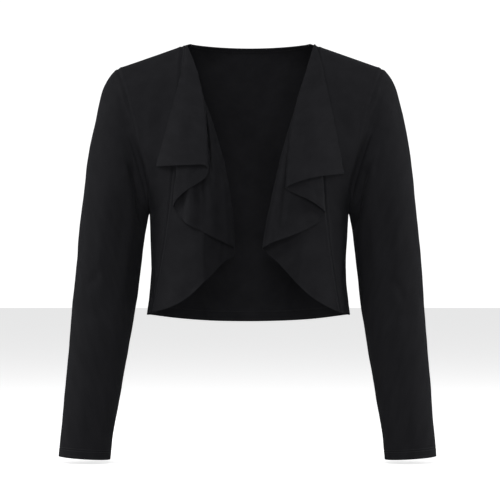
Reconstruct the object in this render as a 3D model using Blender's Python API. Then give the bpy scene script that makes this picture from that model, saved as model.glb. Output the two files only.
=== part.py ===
"""Cropped shrug in fine black jersey, hollow and filled out as it is worn, with waterfall fronts.

Run it in Blender's text editor, or with: blender --background --python part.py

The tables are in millimetres and the meshes in metres. X runs across the garment, -Y is its front
and +Z is up. The origin is on the centre line, level with the middle of the shoulder seams.
"""

import bmesh
import bpy
import numpy as np

MM = 0.001

# Cloth
JERSEY = 1.5  # wall of one layer
HEM_EXTRA = 0.9  # second layer of a turned-up hem, on the inside
SEAM_GAP = 0.3
ARMHOLE_GAP = 0.6
LEAN = 0.0062  # the hanging garment is this far out of plumb

# Shoulder seam, a straight line from the neck point to the sleeve head
NECK_X = 90.0
NECK_Z = 20.5
TIP_X = 198.0
TIP_Z = -17.0
SHOULDER_Y = 8.0
SHOULDER_ROUND = 46.0  # drop over which the cloth turns from the shoulder to the chest or back
BACK_NECK_Z = 16.5
BAND_ROWS = 3  # rows of the back's mesh that the neck band covers, down to 7 mm
BAND_WALL = 1.0
BAND_GAP = 0.5
BAND_INSET = 2  # columns of the back's mesh left bare at each end of the neck band

# Hem and underarm
UNDERARM_Z = -234.0
SIDE_HEM_Z = -386.0
BACK_HEM_Z = -398.0
BULGE = 2.5  # exponent of the torso's level sections, 2 is an ellipse
HEM_CURVE = 2.5  # exponent of the back hem's dip between the side seams

# Fineness of the mesh
NECK_COLUMNS = 8  # from the centre back to the neck point
SHOULDER_COLUMNS = 9  # from there to the armhole
SIDE_COLUMNS = 8  # from the armhole to the princess seam
ROLL_STEPS = 6  # round the half turn at a fold
SHARP_ANGLE = 50.0  # degrees, edges sharper than this are shaded as edges
TINY = 1e-6


def table(columns, rows):
    """Rows of numbers that are read by the name of a column."""
    return np.array(rows, dtype=[(name, float) for name in columns.split()])


# Level sections of the torso: half width to the armhole or side seam, how much further the
# section would run past the armhole, and the depth to the front and to the back.
TORSO = table("z edge spare front back", [
    (-400, 154.0, 0, 113, 95),
    (-386, 151.7, 0, 113, 93),
    (-358, 148.5, 0, 113, 89),
    (-322, 145.7, 0, 114, 86),
    (-304, 145.6, 0, 115, 86),
    (-268, 147.2, 0, 116, 89),
    (-234, 149.0, 0, 116, 94),
    (-202, 149.6, 7, 112, 98),
    (-167, 155.5, 16, 104, 99),
    (-133, 164.0, 27, 95, 98),
    (-84, 177.0, 46, 78, 91),
    (-38, 190.5, 62, 58, 80),
    (-17, 198.0, 66, 49, 73),
    (20, 212.0, 68, 34, 60),
    (50, 220.0, 70, 20, 50),
])

# How far down the panel each row of its mesh lies, from 0 at the top to 1 at the hem. The first
# rows end at the underarm, and their ends are the points of the armhole.
ARM_ROWS = (0, 0.008, 0.017, 0.035, 0.063, 0.105, 0.18, 0.27, 0.37, 0.465, 0.545, 0.588)
SIDE_ROWS = (0.70, 0.82, 0.92, 1)
SIDE_ROWS_HEM = (0.70, 0.82, 0.955, 0.96, 1)

# Sleeve sections: the outer and the inner end of each, its half depth and its middle in Y. The
# first one is bent to the armhole, and the next ones less and less so.
SLEEVE = table("outer_x outer_z inner_x inner_z half y", [
    (198.6, -17, 149.6, -234, 60, 4),
    (205.5, -23, 149.6, -234.6, 60, 4),
    (213.5, -34.5, 150.0, -235.2, 61, 3),
    (221.4, -52.5, 150.4, -236.2, 61, 3),
    (228.5, -80, 150.8, -237.8, 61, 2),
    (234.7, -109, 151.2, -240.5, 60.5, 2),
    (239.9, -138, 151.6, -244, 60, 2),
    (244, -168, 152.2, -248.5, 59.5, 2),
    (248.5, -204, 153.4, -257, 59, 3),
    (253, -246, 156.4, -276, 57.5, 5),
    (258.5, -304, 162.0, -318, 54, 7),
    (263.4, -363, 168.6, -371, 50, 5),
    (268.8, -434, 179.2, -437, 46.5, -2),
    (273.9, -500, 190.4, -503, 43, -11),
    (279.6, -568, 201.6, -572, 40.5, -20),
    (280.9, -583.3, 203.2, -588.3, 40.2, -21.5),
    (281.0, -584.3, 203.3, -589.3, 40.1, -21.6),
    (281.9, -596.4, 204.6, -601.4, 39.8, -23),
])
CUFF_RINGS = 2  # sections at the cuff that have the turned-up layer
FADE_RINGS = 9  # from this section on, the sleeve has a shape of its own
CREASE_Z = -190.0  # below this the sleeve meets the torso in a crease
CREASE_BLEND = 80.0  # and above it by so much, the two run on into each other

# Waterfall fronts. Every fold line falls from the shoulder seam to its tip on the lower edge.
# top_x, tip_x and tip_z place it, bow bends it outwards, most at the height that peak sets (1 is
# half way, more is lower). under and over are how far the layers on its two sides stand off the
# torso, at the top and at the tip.
FOLDS = "top_x tip_x tip_z bow peak under_top under_tip over_top over_tip"
LEFT_FOLDS = table(FOLDS, [
    (97.5, 143.5, -380.5, -7.5, 1.30, 0, 0, 0, 0),  # princess seam
    (89.5, 22.5, -290, -14.5, 1.35, 0, 3, 2.4, 14),  # centre fold
    (95.5, 110.5, -226, 0, 1, 2.4, 7, 4.8, 15),  # outer fold
    (89.5, 58.6, -171, -7, 0.8, 4.8, 13, 7.2, 21),  # inner fold
    (97.5, 137.5, -168, 1, 1, 6.4, 3.4, 0, 0),  # free edge
])
RIGHT_FOLDS = table(FOLDS, [
    (97.5, 135.6, -381.5, -8.5, 1.2, 0, 0, 0, 0),
    (90.5, 18.3, -287, -5.8, 1.2, 0, 3, 2.4, 14),
    (95.5, 109.8, -234, 0, 1, 2.4, 7, 4.8, 15),
    (90.5, 54.7, -200, -7.2, 1.35, 4.8, 13, 7.2, 21),
    (98.5, 139.5, -175.5, 3, 1, 6.4, 3.4, 0, 0),
])
# Lower edge of each layer between two tips: bend arches it, more near its start, and lift raises
# it by so much at a third of the way. steps are the faces across, and spread keeps the layer off
# the ones beneath it for longer before it settles.
LAYERS = "steps bend lift spread"
LEFT_LAYERS = table(LAYERS, [(7, -0.62, 0, 1), (6, 0.06, 0, 1), (6, 0.2, 0, 1), (9, 0, 3, 3)])
RIGHT_LAYERS = table(LAYERS, [(7, -0.37, 0, 1), (6, -0.06, 0, 1), (6, 0.1, 0, 1), (9, 0.8, 0, 3)])
ROLL_CLIMB = 1.1  # rise of the lower edge from a fold's tip to either side of its roll, in radii
UPPER_START = 6.0  # the folded layers start this far below the shoulder seam
HUMP_PEAK = 4 / 27  # largest value of s (1 - s)^2

JERSEY_COLOUR = (0.011, 0.011, 0.0125, 1)
INSIDE_COLOUR = (0.008, 0.008, 0.0085, 1)
CLOTH_ROUGHNESS = 0.85


def clear_scene():
    for old in list(bpy.data.objects):
        bpy.data.objects.remove(old, do_unlink=True)


def smooth(at, places, values):
    """Curve through the values that never overshoots them: a cubic with limited slopes."""
    at = np.clip(at, places[0], places[-1])
    step = np.diff(places)
    rise = np.diff(values) / step
    same = rise[:-1] * rise[1:] > 0
    total = np.where(same, rise[:-1] + rise[1:], 1)
    inner = np.where(same, 2 * rise[:-1] * rise[1:] / total, 0)
    slope = np.concatenate([rise[:1], inner, rise[-1:]])
    cell = np.clip(np.searchsorted(places, at, side="right") - 1, 0, len(step) - 1)
    t = (at - places[cell]) / step[cell]
    return (
        values[cell] * (1 + 2 * t) * (1 - t) ** 2
        + slope[cell] * step[cell] * t * (1 - t) ** 2
        + values[cell + 1] * t**2 * (3 - 2 * t)
        + slope[cell + 1] * step[cell] * t**2 * (t - 1)
    )


def torso(name, z):
    return smooth(np.asarray(z, float), TORSO["z"], TORSO[name])


def shoulder_z(x):
    return NECK_Z + (np.abs(x) - NECK_X) * (TIP_Z - NECK_Z) / (TIP_X - NECK_X)


def body_y(x, z, side):
    """Y of the torso's skin at x and z. side is -1 on the front and 1 on the back."""
    across = np.clip(np.abs(x) / (torso("edge", z) + torso("spare", z)), 0, 1)
    depth = torso("front" if side < 0 else "back", z)
    y = side * depth * (1 - across**BULGE) ** (1 / BULGE)
    drop = np.clip((shoulder_z(x) - z) / SHOULDER_ROUND, 0, 1)
    return SHOULDER_Y + (y - SHOULDER_Y) * np.sqrt(1 - (1 - drop) ** 2)


def body_normal(x, z, side, step=0.4):
    """Unit vector straight out of the torso's skin, from the slopes across and down."""
    low = np.minimum(z, shoulder_z(x) - 2 * step)
    across = body_y(x + step, low, side) - body_y(x - step, low, side)
    down = body_y(x, low + step, side) - body_y(x, low - step, side)
    out = np.stack([-side * across, np.full_like(across, side * 2 * step), -side * down], axis=-1)
    return out / np.linalg.norm(out, axis=-1, keepdims=True)


def unit(vectors):
    return vectors / np.maximum(np.linalg.norm(vectors, axis=-1, keepdims=True), TINY)


def tangents(points, axis, closed=False):
    """Direction of the grid along one axis: the mean of the directions before and after."""
    if closed:
        ahead = unit(np.roll(points, -1, axis) - points)
        return unit(ahead + np.roll(ahead, 1, axis))
    ahead = unit(np.diff(points, axis=axis))
    ends = [np.take(ahead, [i], axis) for i in (0, -1)]
    after = np.concatenate([ahead, ends[1]], axis)
    before = np.concatenate([ends[0], ahead], axis)
    return unit(after + before)


def grid_normals(points, closed=False):
    return unit(np.cross(tangents(points, 1, closed), tangents(points, 0)))


def quads(rows, columns, closed):
    """Corner numbers of a grid's faces, row by row."""
    row, column = np.meshgrid(np.arange(rows - 1), np.arange(columns - (not closed)), indexing="ij")
    a = row * columns + column
    b = row * columns + (column + 1) % columns
    return np.stack([a, b, b + columns, a + columns], axis=-1).reshape(-1, 4)


def rim(outer, inner):
    """Faces between two matching lines of corner numbers."""
    return np.stack([outer[:-1], inner[:-1], inner[1:], outer[1:]], axis=-1)


def wall(name, outer, inner, colour, closed=False):
    """A cloth wall between two grids of points, joined by a rim along each free edge."""
    rows, columns = outer.shape[:2]
    count = rows * columns
    numbers = np.arange(count).reshape(rows, columns)
    around = np.concatenate([numbers, numbers[:, :1]], axis=1) if closed else numbers
    faces = [quads(rows, columns, closed), quads(rows, columns, closed)[:, ::-1] + count]
    edges = [around[0, ::-1], around[-1]]
    if not closed:
        edges += [numbers[:, 0], numbers[::-1, -1]]
    faces += [rim(edge, edge + count)[:, ::-1] for edge in edges]
    points = np.concatenate([outer.reshape(-1, 3), inner.reshape(-1, 3)])
    points[:, 0] += LEAN * points[:, 2]
    mesh = bpy.data.meshes.new(name)
    mesh.from_pydata((points * MM).tolist(), [], np.concatenate(faces).tolist())
    face_out(mesh)
    piece = bpy.data.objects.new(name, mesh)
    mesh.materials.append(cloth_material(name, colour))
    mesh.shade_smooth()
    mesh.set_sharp_from_angle(angle=np.radians(SHARP_ANGLE))
    return piece


def face_out(mesh):
    edit = bmesh.new()
    edit.from_mesh(mesh)
    bmesh.ops.recalc_face_normals(edit, faces=edit.faces)
    edit.to_mesh(mesh)
    edit.free()


def cloth_material(name, colour):
    material = bpy.data.materials.new(name)
    material.use_nodes = True
    shader = material.node_tree.nodes["Principled BSDF"]
    shader.inputs["Base Color"].default_value = colour
    shader.inputs["Roughness"].default_value = CLOTH_ROUGHNESS
    shader.inputs["Metallic"].default_value = 0
    return material


def facing(normals, side):
    """Turns the normals outwards, judged by the middle of the grid."""
    middle = normals[normals.shape[0] // 2, normals.shape[1] // 2]
    return normals if middle[1] * side > 0 else -normals


def edge_line(rows):
    """The armhole and side seam: half width and height at each row."""
    z = TIP_Z + (SIDE_HEM_Z - TIP_Z) * rows
    return torso("edge", z), z


def fold_x(folds, index, z):
    """Half width of a fold line at the height z."""
    line = folds[index]
    top = shoulder_z(line["top_x"])
    down = np.maximum((top - z) / (top - line["tip_z"]), 0)
    straight = line["top_x"] + (line["tip_x"] - line["top_x"]) * down
    return straight + line["bow"] * np.sin(np.pi * np.clip(down, 0, 1) ** line["peak"])


def back_grid():
    """Skin of the back: columns are spread to the seams, rows fall from neck and shoulder."""
    rows = np.array(ARM_ROWS + SIDE_ROWS_HEM)
    neck = NECK_X / TIP_X
    half = np.concatenate([
        neck * np.sin(np.linspace(0, np.pi / 2, NECK_COLUMNS)),
        neck + (1 - neck) * np.sin(np.linspace(0, np.pi / 2, SHOULDER_COLUMNS))[1:],
    ])
    across = np.concatenate([-half[:0:-1], half])
    edge_x, edge_z = edge_line(rows)
    inside = np.abs(across) < neck + TINY
    share = np.clip(np.abs(across) / neck, 0, 1)
    neck_z = BACK_NECK_Z + (NECK_Z - BACK_NECK_Z) * share**2
    top = np.where(inside, neck_z, shoulder_z(TIP_X * across))
    bottom = BACK_HEM_Z + (SIDE_HEM_Z - BACK_HEM_Z) * np.abs(across) ** HEM_CURVE
    x = edge_x[:, None] * across
    z = top + (bottom - top) * rows[:, None]
    skin = np.stack([x, body_y(x, z, 1), z], axis=-1)
    seams = edge_z <= UNDERARM_Z
    normals = facing(grid_normals(skin), 1)
    normals[0, ~inside, 1] = 0
    normals[0, inside] = body_normal(x[0, inside], z[0, inside], 1)
    for end in (0, -1):
        normals[seams, end, 1] = 0
        skin[seams, end, 1] += SEAM_GAP / 2
    skin[0, ~inside, 1] += SEAM_GAP / 2
    return rows, inside, skin, unit(normals)


def back_panel():
    rows, _, skin, normals = back_grid()
    hem = rows >= SIDE_ROWS_HEM[-2]
    thick = JERSEY + HEM_EXTRA * hem[:, None, None]
    return wall("back_panel", skin, skin - normals * thick, JERSEY_COLOUR)


def back_neck_band():
    """Narrow strip that lies inside the back neck edge, made from the panel's own points."""
    _, inside, skin, normals = back_grid()
    under = np.flatnonzero(inside)[BAND_INSET:-BAND_INSET]
    out = normals[:BAND_ROWS, under]
    outer = skin[:BAND_ROWS, under] - out * (JERSEY + BAND_GAP)
    return wall("back_neck_band", outer, outer - out * BAND_WALL, INSIDE_COLOUR)


def side_front(name, folds, hand):
    """Front between the armhole or side seam and the princess seam."""
    rows = np.array(ARM_ROWS + SIDE_ROWS)
    edge_x, edge_z = edge_line(rows)
    seam = folds[0]
    top = shoulder_z(seam["top_x"])
    seam_z = top + (seam["tip_z"] - top) * rows
    seam_x = fold_x(folds, 0, seam_z) + SEAM_GAP / 2
    spread = 1 - np.cos(np.linspace(0, np.pi / 2, SIDE_COLUMNS))
    x = edge_x[:, None] + (seam_x - edge_x)[:, None] * spread
    z = edge_z[:, None] + (seam_z - edge_z)[:, None] * spread
    skin = np.stack([x, body_y(x, z, -1), z], axis=-1)
    skin[0, :, 2] = shoulder_z(skin[0, :, 0])
    skin[0, :, 1] = SHOULDER_Y - SEAM_GAP / 2
    below = edge_z <= UNDERARM_Z
    normals = facing(grid_normals(skin), -1)
    normals[0, :, 1] = 0
    normals[below, 0, 1] = 0
    normals[1:, -1] = body_normal(x[1:, -1], z[1:, -1], -1)
    normals = unit(normals)
    skin[below, 0, 1] -= SEAM_GAP / 2
    inner = skin - normals * JERSEY
    return wall(name, *handed(hand, skin, inner), JERSEY_COLOUR)


def handed(hand, *grids):
    """Points are worked out for the +X side and mirrored for the other."""
    return [grid * np.array([hand, 1, 1]) for grid in grids]


def fold_state(folds, index, z, which):
    """How far a layer stands off the torso at a fold line, at the height z."""
    line = folds[index]
    top = shoulder_z(line["top_x"])
    down = np.maximum((top - z) / (top - line["tip_z"]), 0)
    return line[which + "_top"] + (line[which + "_tip"] - line[which + "_top"]) * down


def roll_radius(folds, index, z):
    return (fold_state(folds, index, z, "over") - fold_state(folds, index, z, "under")) / 2


def tip_climb(folds, index):
    """How far the lower edge rises or falls from a fold's tip to the side of its roll."""
    rolled = 0 < index < len(folds) - 1
    return ROLL_CLIMB * roll_radius(folds, index, folds["tip_z"][index]) if rolled else 0


def layer_points(folds, layers, index, rows):
    """One layer between two fold lines: x and stand-off for each row and step across."""
    layer = layers[index]
    share = np.linspace(0, 1, int(layer["steps"]) + 1)
    start, end = folds[index], folds[index + 1]
    low_start = start["tip_z"] + tip_climb(folds, index)
    low_end = end["tip_z"] - tip_climb(folds, index + 1)
    arch = layer["bend"] * share * (1 - share)
    hump = layer["lift"] * share * (1 - share) ** 2 / HUMP_PEAK
    low = low_start + (low_end - low_start) * (share + arch) + hump
    first = layer_start(folds, index, share)
    z = first + (low - first) * rows[:, None]
    inward = -1 if index % 2 else 1
    begin_roll = roll_radius(folds, index, z) if index else 0
    end_roll = roll_radius(folds, index + 1, z) if index < 3 else 0
    begin = fold_x(folds, index, z) - inward * begin_roll
    finish = fold_x(folds, index + 1, z) + inward * end_roll
    x = begin + (finish - begin) * share
    off_begin = fold_state(folds, index, z, "over")
    off_end = fold_state(folds, index + 1, z, "under")
    off = off_begin + (off_end - off_begin) * share ** layer["spread"]
    return x, z, off


def layer_start(folds, index, share):
    top = folds["top_x"][index] + (folds["top_x"][index + 1] - folds["top_x"][index]) * share
    return shoulder_z(top) - (UPPER_START if index else 0)


def roll_points(folds, index, rows):
    """Half turn of cloth at a fold line, between the layer under it and the layer over it."""
    turn = np.linspace(0, np.pi, ROLL_STEPS + 1)[1:-1]
    line = folds[index]
    lower = 0 if index == 1 else UPPER_START
    start = shoulder_z(line["top_x"]) - (lower + (UPPER_START - lower) * turn / np.pi)
    low = line["tip_z"] - tip_climb(folds, index) * (1 - 2 * turn / np.pi)
    z = start + (low - start) * rows[:, None]
    radius = roll_radius(folds, index, z)
    outward = 1 if index % 2 else -1
    x = fold_x(folds, index, z) + outward * radius * (1 - np.sin(turn))
    middle = fold_state(folds, index, z, "under") + radius
    return x, z, middle - radius * np.cos(turn)


def drape_front(name, folds, layers, hand):
    """One sheet of cloth from the princess seam to its free edge, folded at three lines."""
    rows = np.array(ARM_ROWS + SIDE_ROWS)
    parts = [layer_points(folds, layers, 0, rows)]
    for index in (1, 2, 3):
        parts.append(roll_points(folds, index, rows))
        parts.append(layer_points(folds, layers, index, rows))
    x, z, off = (np.concatenate([part[i] for part in parts], axis=1) for i in range(3))
    x[:, 0] -= SEAM_GAP / 2
    skin = np.stack([x, body_y(x, z, -1), z], axis=-1)
    out = body_normal(x, z, -1)
    on_seam = int(layers["steps"][0]) + 1
    skin[0, :on_seam, 1] = SHOULDER_Y - SEAM_GAP * 1.5
    middle = skin + out * (off - JERSEY / 2)[..., None]
    normals = facing_first(grid_normals(middle), out)
    normals[:, 0] = out[:, 0]
    normals[0, : on_seam - 1, 1] = 0
    normals = unit(normals)
    outer = middle + normals * JERSEY / 2
    inner = middle - normals * JERSEY / 2
    return wall(name, *handed(hand, outer, inner), JERSEY_COLOUR)


def facing_first(normals, out):
    """Turns the normals so that the layer at the princess seam faces out of the garment."""
    middle = normals.shape[0] // 2
    return normals if np.dot(normals[middle, 2], out[middle, 2]) > 0 else -normals


def sleeve_turn():
    """Angle of each point round a sleeve, over the front to the underarm and back."""
    front = np.arccos(1 - 2 * np.array(ARM_ROWS) / ARM_ROWS[-1])
    return np.concatenate([front, 2 * np.pi - front[-2:0:-1]])


def armhole_ring(turn):
    """The armhole, which is the edge of the back and the side front."""
    x, z = edge_line((1 - np.cos(turn)) / 2 * ARM_ROWS[-1])
    y = np.where(np.sin(turn) > TINY, body_y(x, z, -1), body_y(x, z, 1))
    y[0] = SHOULDER_Y
    return np.stack([x + ARMHOLE_GAP, y, z], axis=-1)


def sleeve(name, hand):
    """Rings that fan round the underarm and then run down the arm."""
    turn = sleeve_turn()
    along = (1 + np.cos(turn)) / 2
    x = SLEEVE["inner_x"][:, None] + (SLEEVE["outer_x"] - SLEEVE["inner_x"])[:, None] * along
    z = SLEEVE["inner_z"][:, None] + (SLEEVE["outer_z"] - SLEEVE["inner_z"])[:, None] * along
    y = SLEEVE["y"][:, None] - SLEEVE["half"][:, None] * np.sin(turn)
    rings = np.stack([x, y, z], axis=-1)
    fade = np.clip(1 - np.arange(len(rings)) / FADE_RINGS, 0, 1) ** 2
    rings = rings + fade[:, None, None] * (armhole_ring(turn) - rings[0])
    normals = grid_normals(rings, closed=True)
    if normals[-1, 0, 0] < 0:
        normals = -normals
    ring = rings[0]
    torso_out = np.where(
        (np.sin(turn) > TINY)[:, None],
        body_normal(ring[:, 0], ring[:, 2], -1),
        body_normal(ring[:, 0], ring[:, 2], 1),
    )
    torso_out[0, 1] = 0
    normals[0] = normals[1]
    level = np.clip((ring[:, 2:] - CREASE_Z) / CREASE_BLEND, 0, 1)
    normals[0] = unit(normals[0] + (unit(torso_out) - normals[0]) * level)
    thick = np.full((len(rings), 1, 1), JERSEY)
    thick[-CUFF_RINGS:] += HEM_EXTRA
    inner = rings - normals * thick
    return wall(name, *handed(hand, rings, inner), JERSEY_COLOUR, closed=True)


def main():
    clear_scene()
    collection = bpy.data.collections.new("waterfall_shrug")
    bpy.context.scene.collection.children.link(collection)
    held = bpy.data.objects.new("wearer_shoulders", None)
    held.empty_display_size = 0.05
    collection.objects.link(held)
    pieces = [back_panel(), back_neck_band()]
    for side, hand, folds, layers in (
        ("left", -1, LEFT_FOLDS, LEFT_LAYERS),
        ("right", 1, RIGHT_FOLDS, RIGHT_LAYERS),
    ):
        pieces.append(side_front(f"side_front_{side}", folds, hand))
        pieces.append(drape_front(f"drape_front_{side}", folds, layers, hand))
        pieces.append(sleeve(f"sleeve_{side}", hand))
    for piece in pieces:
        collection.objects.link(piece)
        piece.parent = held


main()
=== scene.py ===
# Black jersey shrug with waterfall fronts: cloth, sewing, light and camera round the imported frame.
# Tables and distances are in millimetres and become metres on their way into Blender. Each half of
# the garment is worked out for +X and mirrored by hand = -1. Left and right are the viewer's, from
# the front.

import math

import bpy
import numpy as np
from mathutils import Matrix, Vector


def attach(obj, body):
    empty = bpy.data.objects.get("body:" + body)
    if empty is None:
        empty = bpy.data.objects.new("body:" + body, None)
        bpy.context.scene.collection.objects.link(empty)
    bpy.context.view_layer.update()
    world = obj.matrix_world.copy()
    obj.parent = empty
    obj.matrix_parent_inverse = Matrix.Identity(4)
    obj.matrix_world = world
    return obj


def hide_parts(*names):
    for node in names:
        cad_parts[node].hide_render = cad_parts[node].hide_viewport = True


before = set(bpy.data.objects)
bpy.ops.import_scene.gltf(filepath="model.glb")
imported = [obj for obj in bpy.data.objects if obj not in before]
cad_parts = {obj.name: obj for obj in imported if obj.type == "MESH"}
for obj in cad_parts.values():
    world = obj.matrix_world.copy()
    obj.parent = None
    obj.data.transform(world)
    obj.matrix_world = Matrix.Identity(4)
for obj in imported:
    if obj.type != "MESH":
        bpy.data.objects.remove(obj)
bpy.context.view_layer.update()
print("frame loaded:", ", ".join(sorted(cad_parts)))

mm = 0.001
tiny = 1e-6

cloth = {
    "thickness": 1.0,
    "lipSteps": 3,  # rows of the rounding along a cut edge
    "lean": 0.0062,  # the hanging garment is this far out of plumb
    "seamGap": 0.3,
    "seamDip": 1.0,  # how far the cloth is drawn in along a seam
    "seamReach": 1.8,
    "seamRidge": 0.42,  # and lifted beside it, over the turnings inside
    "ridgeAt": 4.8,
    "ridgeReach": 2.0,
    "seamFull": 30.0,  # a side seam is drawn in fully this far below the underarm
    "fineReach": 7.0,  # stretch next to a seam or hem where the mesh is finer
    "fineBoost": 3.5,
}


# small tools for grids of points


def table(columns, rows):
    # rows of numbers that are read by the name of a column
    return np.array(rows, dtype=[(name, float) for name in columns.split()])


def curveThrough(at, places, values):
    # cubic through the values with its slope held down, so that it never overshoots them
    at = np.clip(at, places[0], places[-1])
    step = np.diff(places)
    rise = np.diff(values) / step
    same = rise[:-1] * rise[1:] > 0
    total = np.where(same, rise[:-1] + rise[1:], 1)
    inner = np.where(same, 2 * rise[:-1] * rise[1:] / total, 0)
    slope = np.concatenate([rise[:1], inner, rise[-1:]])
    cell = np.clip(np.searchsorted(places, at, side="right") - 1, 0, len(step) - 1)
    t = (at - places[cell]) / step[cell]
    return (
        values[cell] * (1 + 2 * t) * (1 - t) ** 2
        + slope[cell] * step[cell] * t * (1 - t) ** 2
        + values[cell + 1] * t**2 * (3 - 2 * t)
        + slope[cell + 1] * step[cell] * t**2 * (t - 1)
    )


def unit(vectors):
    return vectors / np.maximum(np.linalg.norm(vectors, axis=-1, keepdims=True), tiny)


def rising(distance, length):
    # straight from 0 to 1 over the length
    return np.clip(distance / length, 0, 1)


def bell(distance, reach):
    # e to the minus square of the distance, counted in reaches
    return np.exp(-((distance / reach) ** 2))


def tangents(points, axis, closed=False):
    # direction of the grid along one axis: the sum of the unit steps before and after each point
    if closed:
        ahead = unit(np.roll(points, -1, axis) - points)
        return unit(ahead + np.roll(ahead, 1, axis))
    ahead = unit(np.diff(points, axis=axis))
    first, last = (np.take(ahead, [i], axis) for i in (0, -1))
    return unit(np.concatenate([ahead, last], axis) + np.concatenate([first, ahead], axis))


def gridNormals(points, closed=False):
    # cross product of the directions across and down the grid
    return unit(np.cross(tangents(points, 1, closed), tangents(points, 0)))


def runLength(points, axis):
    # distance along the cloth from the grid's first row or column
    step = np.linalg.norm(np.diff(points, axis=axis), axis=-1)
    return np.cumsum(np.concatenate([np.zeros_like(np.take(step, [0], axis)), step], axis), axis)


def edgeDistance(points, edge):
    # distance along the cloth from one edge of the grid
    run = runLength(points, 0 if edge in ("top", "bottom") else 1)
    return {"top": run, "start": run, "bottom": run[-1:] - run, "end": run[:, -1:] - run}[edge]


def finerEnds(count, length, start=True, end=True):
    # shares from 0 to 1 whose density is 1 plus a bell of fineReach at the chosen ends
    s = np.linspace(0, 1, 2001)
    extra = lambda away: cloth["fineBoost"] * bell(away * length, cloth["fineReach"])
    density = 1 + start * extra(s) + end * extra(1 - s)
    total = np.concatenate([[0], np.cumsum((density[1:] + density[:-1]) / 2)])
    return np.interp(np.linspace(0, 1, count), total / total[-1], s)


def easedTop(s, bend):
    # a hyperbola: grows as a square near 0 and then straight, for the turn over the shoulder
    return (np.sqrt(bend**2 + s**2) - bend) / (np.sqrt(bend**2 + 1) - bend)


def bump(t):
    # smooth hill over 0 to 1 that is flat at both ends
    return np.where((t > 0) & (t < 1), (1 - (2 * t - 1) ** 2) ** 2, 0)


def creaseRows(rows):
    return table("x0 z0 x1 z1 bow width rise", rows)


def creases(a, b, rows):
    # sum of soft ridges and troughs: each runs from (x0, z0) to (x1, z1), bowed sideways, and its
    # height is rise times a bell across it times a hill along it
    height = np.zeros(np.broadcast(a, b).shape)
    for row in rows:
        alongX, alongZ = row["x1"] - row["x0"], row["z1"] - row["z0"]
        length = math.hypot(alongX, alongZ)
        t = ((a - row["x0"]) * alongX + (b - row["z0"]) * alongZ) / length**2
        aside = ((a - row["x0"]) * alongZ - (b - row["z0"]) * alongX) / length
        aside = aside - row["bow"] * 4 * t * (1 - t)
        height += row["rise"] * bell(aside, row["width"]) * bump(t)
    return height


def unevenness(a, b, seed, longest=110.0, shortest=28.0, count=9):
    # sum of sine waves in seeded directions, whose heights are in proportion to their lengths
    pick = np.random.default_rng(seed)
    height = np.zeros(np.broadcast(a, b).shape)
    for size in np.geomspace(longest, shortest, count):
        turn, phase = pick.uniform(0, 2 * np.pi, 2)
        wave = 2 * np.pi / size
        height += size * np.sin(wave * (a * np.cos(turn) + b * np.sin(turn)) + phase)
    return height / (longest * np.sqrt(count / 2))


def seamShape(distance):
    # drawn in along the seam by one bell and lifted beside it by another
    drawn = cloth["seamDip"] * bell(distance, cloth["seamReach"])
    lifted = cloth["seamRidge"] * bell(distance - cloth["ridgeAt"], cloth["ridgeReach"])
    return lifted - drawn


def clearOfBody(z):
    # 1 where the sleeve stands out of the armhole, 0 lower down where they meet in a crease
    return rising(z - sleeveValues["creaseZ"], sleeveValues["creaseBlend"])


def seamHold(z):
    # share of the drawing in that an armhole and side seam keeps: none where the sleeve meets the
    # body in a crease, and all of it a little below the underarm
    return np.maximum(clearOfBody(z), rising(underarmZ - z, cloth["seamFull"]))


# from a grid to a closed cloth wall


def padAxis(grid, axis, direction, steps):
    # adds rows past both ends of an axis, stepping out along direction by the given distances
    first, last = (np.take(grid, [i], axis) for i in (0, -1))
    if direction is None:
        before, after = [first] * len(steps), [last] * len(steps)
    else:
        ahead, behind = (np.take(direction, [i], axis) for i in (0, -1))
        before = [first - ahead * step for step in steps[::-1]]
        after = [last + behind * step for step in steps]
    return np.concatenate(before + [grid] + after, axis)


def roundedWall(middle, out, thickness, inside, closed):
    # both faces of the cloth: middle plus and minus half the thickness, which follows a half circle
    # over the last rows of each free edge, so that the faces meet there
    half = thickness / 2
    turn = np.linspace(0, np.pi / 2, cloth["lipSteps"] + 1)[1:]
    steps, narrow = half * np.sin(turn), np.cos(turn)
    narrow[-1] = 0
    share = np.ones(middle.shape[:2])
    inside = np.broadcast_to(inside, middle.shape[:2])
    for axis in (0,) if closed else (0, 1):
        middle = padAxis(middle, axis, tangents(middle, axis), steps)
        out = padAxis(out, axis, None, steps)
        inside = padAxis(inside, axis, None, steps)
        share = padAxis(share, axis, None, steps)
        index = [slice(None)] * 2
        for place, value in enumerate(narrow[::-1]):
            for end in (place, -1 - place):
                index[axis] = end
                share[tuple(index)] *= value
    outer = middle + out * (half * share)[..., None]
    inner = middle - out * ((half + inside) * share)[..., None]
    return middle, outer, inner, share


def gridFaces(rows, columns, closed):
    # corner numbers of each four-sided face, and the column beside which each corner's UV lies
    row, column = np.meshgrid(np.arange(rows - 1), np.arange(columns - (not closed)), indexing="ij")
    corners = [(row, column), (row, column + 1), (row + 1, column + 1), (row + 1, column)]
    numbers = np.stack([r * columns + c % columns for r, c in corners], axis=-1).reshape(-1, 4)
    places = np.stack([r * (columns + closed) + c for r, c in corners], axis=-1).reshape(-1, 4)
    return numbers, places


def makeMesh(name, points, faces, material, uv):
    points[:, 0] += cloth["lean"] * points[:, 2]
    mesh = bpy.data.meshes.new(name)
    mesh.from_pydata((points * mm).tolist(), [], faces)
    layer = mesh.uv_layers.new(name="cloth")
    layer.uv.foreach_set("vector", np.ascontiguousarray(uv, dtype=np.float32).ravel())
    mesh.shade_smooth()
    mesh.materials.append(material)
    piece = bpy.data.objects.new(name, mesh)
    bpy.context.scene.collection.objects.link(piece)
    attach(piece, "root")
    return piece


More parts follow.
